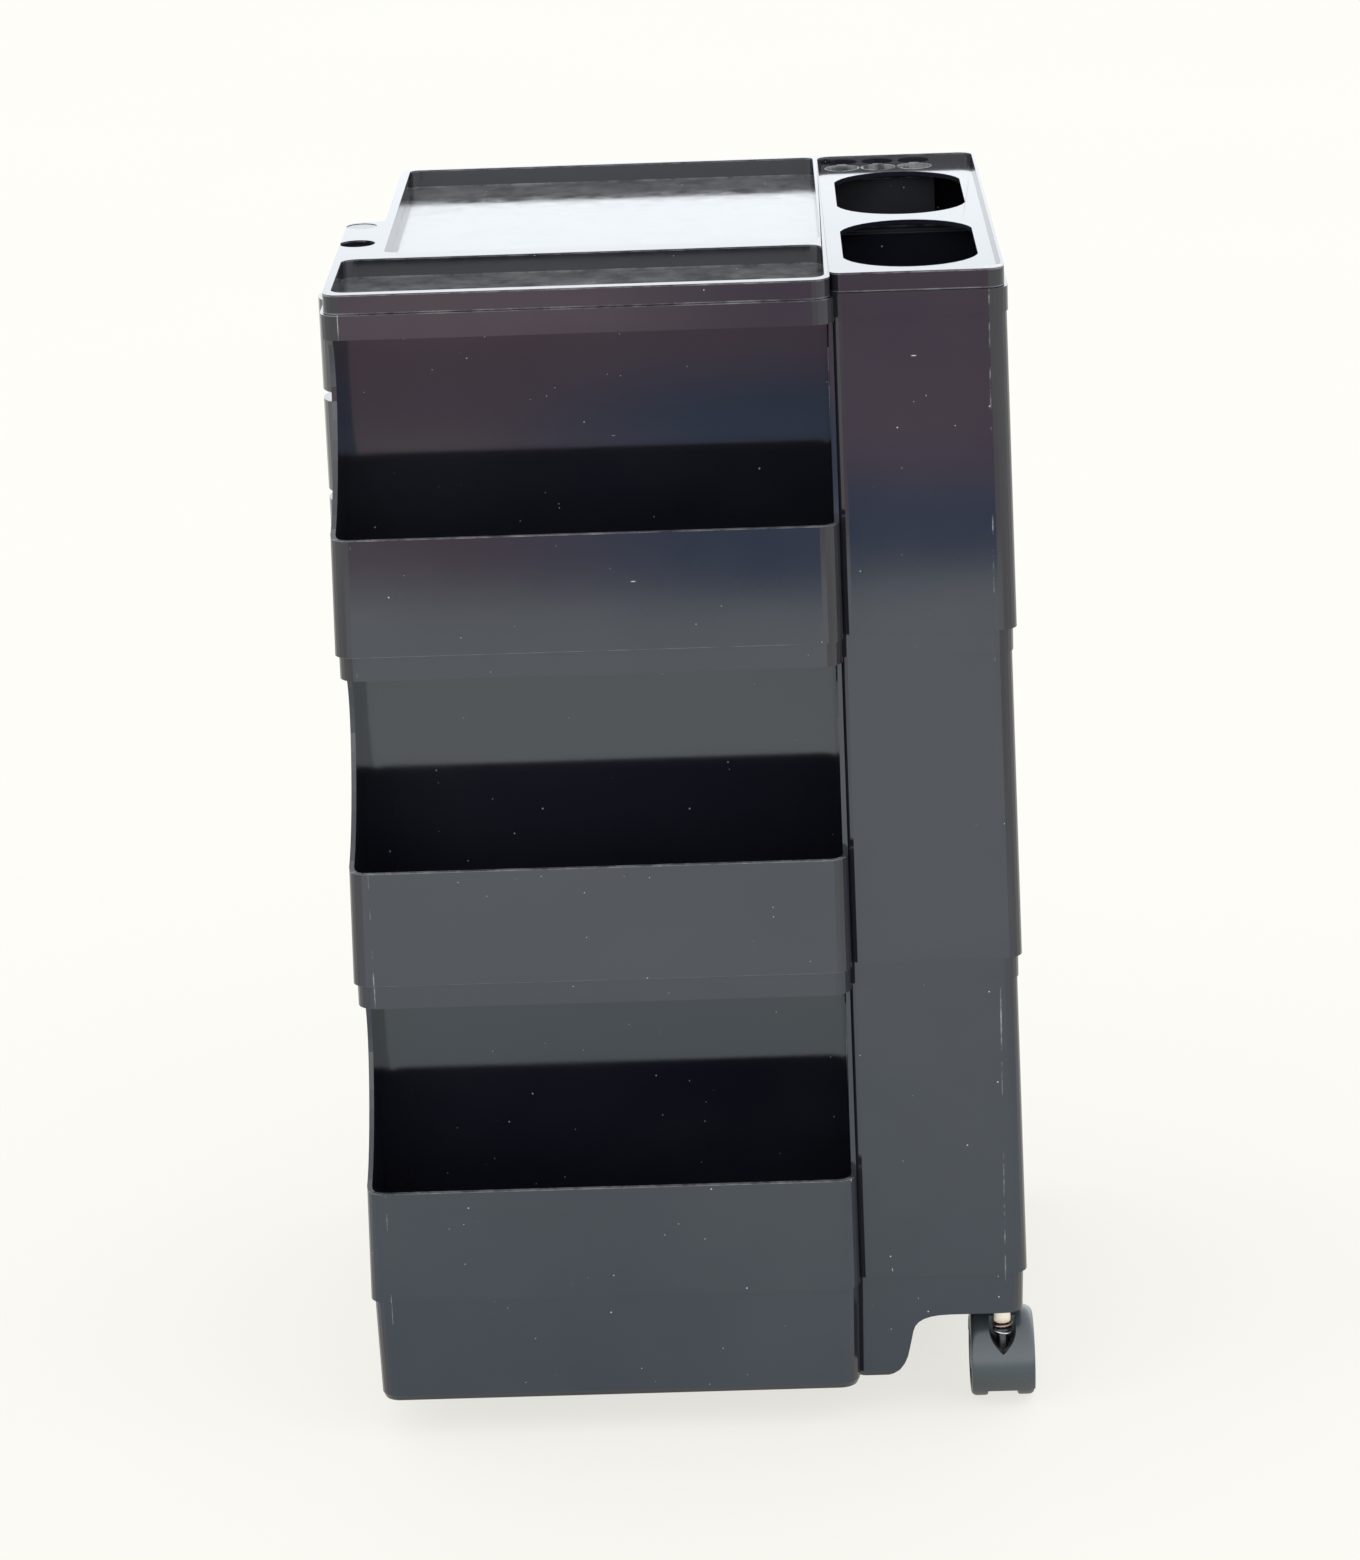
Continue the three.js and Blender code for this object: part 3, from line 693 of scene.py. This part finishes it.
SKY_COLOUR = rgb(0.94, 0.985, 1.03)
SKY_AT_HORIZON = 2.60
SKY_OVERHEAD = 1.45
FLOOR_LEVEL = -0.5 * MM
FLOOR_HALF = 14.0
FLOOR_GLOW = rgb(0.965, 0.958, 0.905)
FLOOR_GREY = rgb(0.160, 0.152, 0.140)
FLOOR_PALE = rgb(0.170, 0.161, 0.148)
CARD_NEAR = rgb(0.86, 1.02, 1.12)
CARD_BRIGHT = rgb(1.40, 1.55, 1.62)
CARD_DISTANCE = rgb(0.74, 0.52, 0.66)
CARD_BLUE = rgb(0.30, 0.44, 0.74)
CARD_WARM = rgb(1.35, 1.05, 1.10)
CARD_LOW = (-2.4, -9.0)
CARD_HIGH = (2.4, -0.23)


def make_world():
    """A bright, even sky, brighter near the horizon."""
    world = bpy.data.worlds.new("sky")
    bpy.context.scene.world = world
    world.use_nodes = True
    t = Tree(world.node_tree)
    height = t.axes(t.add("ShaderNodeTexCoord").outputs["Generated"])[2]
    background = t.add("ShaderNodeBackground")
    background.inputs["Color"].default_value = SKY_COLOUR
    t.link(t.ramp(height, 0.0, 0.9, SKY_AT_HORIZON, SKY_OVERHEAD), background.inputs["Strength"])
    out = t.add("ShaderNodeOutputWorld")
    t.link(background.outputs[0], out.inputs["Surface"])


def flat_sheet(name, low, high, height, material):
    """A level rectangle of the stage, from its low to its high corner."""
    corners = [(low[0], low[1], height), (high[0], low[1], height),
               (high[0], high[1], height), (low[0], high[1], height)]
    obj = bpy.data.objects.new(name, mesh_of(name, corners, [(0, 1, 2, 3)], smooth=False))
    bpy.context.scene.collection.objects.link(obj)
    dress(obj, material)
    return obj


def floor_material():
    """A pale floor with a little light of its own, so that shadows on it stay soft."""
    material, t = new_material("pale_floor")
    patches = t.noise(t.place(), 1.2, 2.0)
    diffuse = t.add("ShaderNodeBsdfDiffuse")
    t.link(t.mix(patches, FLOOR_GREY, FLOOR_PALE), diffuse.inputs["Color"])
    glow = t.add("ShaderNodeEmission")
    glow.inputs["Color"].default_value = FLOOR_GLOW
    glow.inputs["Strength"].default_value = 0.75
    both = t.add("ShaderNodeAddShader")
    t.link(diffuse.outputs[0], both.inputs[0])
    t.link(glow.outputs[0], both.inputs[1])
    t.finish(both)
    return material


def soft_patch(t, x, y, centre, size):
    """1 inside an ellipse on the ground, fading out towards its edge."""
    across = t.math("DIVIDE", t.math("SUBTRACT", x, centre[0]), size[0])
    along = t.math("DIVIDE", t.math("SUBTRACT", y, centre[1]), size[1])
    square = t.math("ADD", t.math("MULTIPLY", across, across), t.math("MULTIPLY", along, along))
    return t.ramp(square, 1.25, 0.35)


def card_material():
    """What the glossy fronts mirror: bright ground, a brownish distance and two soft patches."""
    material, t = new_material("reflection_card")
    place = t.place()
    wobble = t.math("MULTIPLY", t.math("SUBTRACT", t.noise(place, 1.7, 3.0), 0.5), 0.5)
    x, y, z = t.axes(place)
    along = t.math("ADD", y, wobble)
    colour = t.mix(t.ramp(y, -0.25, -1.2), CARD_NEAR, CARD_BRIGHT)
    colour = t.mix(t.ramp(along, -2.45, -2.75), colour, CARD_DISTANCE)
    colour = t.mix(soft_patch(t, x, along, (0.18, -2.80), (0.40, 0.34)), colour, CARD_BLUE)
    colour = t.mix(soft_patch(t, x, along, (-0.32, -3.62), (0.34, 0.30)), colour, CARD_WARM)
    glow = t.add("ShaderNodeEmission")
    t.link(colour, glow.inputs["Color"])
    clear = t.add("ShaderNodeBsdfTransparent")
    faded = t.add("ShaderNodeMixShader")
    t.link(t.ramp(t.math("ABSOLUTE", x), 0.65, 1.35), faded.inputs[0])
    t.link(glow.outputs[0], faded.inputs[1])
    t.link(clear.outputs[0], faded.inputs[2])
    t.finish(faded)
    return material


def make_stage():
    """The floor, and a card just above it that only glossy surfaces see."""
    flat_sheet("floor", (-FLOOR_HALF, -FLOOR_HALF), (FLOOR_HALF, FLOOR_HALF), FLOOR_LEVEL, floor_material())
    card = flat_sheet("reflection_card", CARD_LOW, CARD_HIGH, 0.5 * MM, card_material())
    card.visible_camera = False
    card.visible_diffuse = False
    card.visible_shadow = False
    card.visible_transmission = False


# ---- Putting it together ----

def make_looks():
    """Every material of the object, by a short name."""
    return {
        "shell": moulded_plastic("shell_plastic", own_marks=shell_marks, rough_edge=divider_top),
        "cover": moulded_plastic("cover_plastic", own_marks=cover_marks, dust=tray_dust, patch=rubbed_corner),
        "drawer": moulded_plastic("drawer_plastic"),
        "tube": moulded_plastic("tube_plastic", gloss=0.25),
        "plug": moulded_plastic("plug_plastic", gloss=0.2),
        "hood": moulded_plastic("caster_plastic", HOOD_DARK, HOOD_LIGHT, gloss=0.26, wear=1.4),
        "wheel": moulded_plastic("wheel_plastic", WHEEL_DARK, WHEEL_LIGHT, gloss=0.42, wear=1.6),
        "steel": plated_steel("caster_steel", rgb(0.66, 0.65, 0.62), rgb(0.22, 0.16, 0.12)),
        "rust": plated_steel("rusty_wire", rgb(0.42, 0.30, 0.24), rgb(0.14, 0.07, 0.05)),
        # Near-black steel with random tarnish: painted shade for the caster stem inside the hood's window.
        "painted_shade_steel": plated_steel("stem_steel_painted_shade", rgb(0.10, 0.095, 0.09), rgb(0.035, 0.03, 0.028)),
        "nylon": aged_nylon("sleeve_plastic"),
    }


def dress_body(looks):
    """The large mouldings keep their CAD meshes, with rounded edges and the plastic's look."""
    groups = {"shell": ["base_shell", *MODULES], "cover": ["top_cover"], "drawer": DRAWERS}
    for look, names in groups.items():
        for name in names:
            dress(nodes[name], looks[look])
            finish_mesh(nodes[name])
    for name, look in (("pivot_tube", "tube"), ("lug_plug", "plug")):
        dress(nodes[name], looks[look])
        finish_mesh(nodes[name], bevel=0.5 * MM)


make_camera()
make_world()
make_stage()
looks = make_looks()
dress_body(looks)
for name in CASTERS:
    make_caster(name, looks)
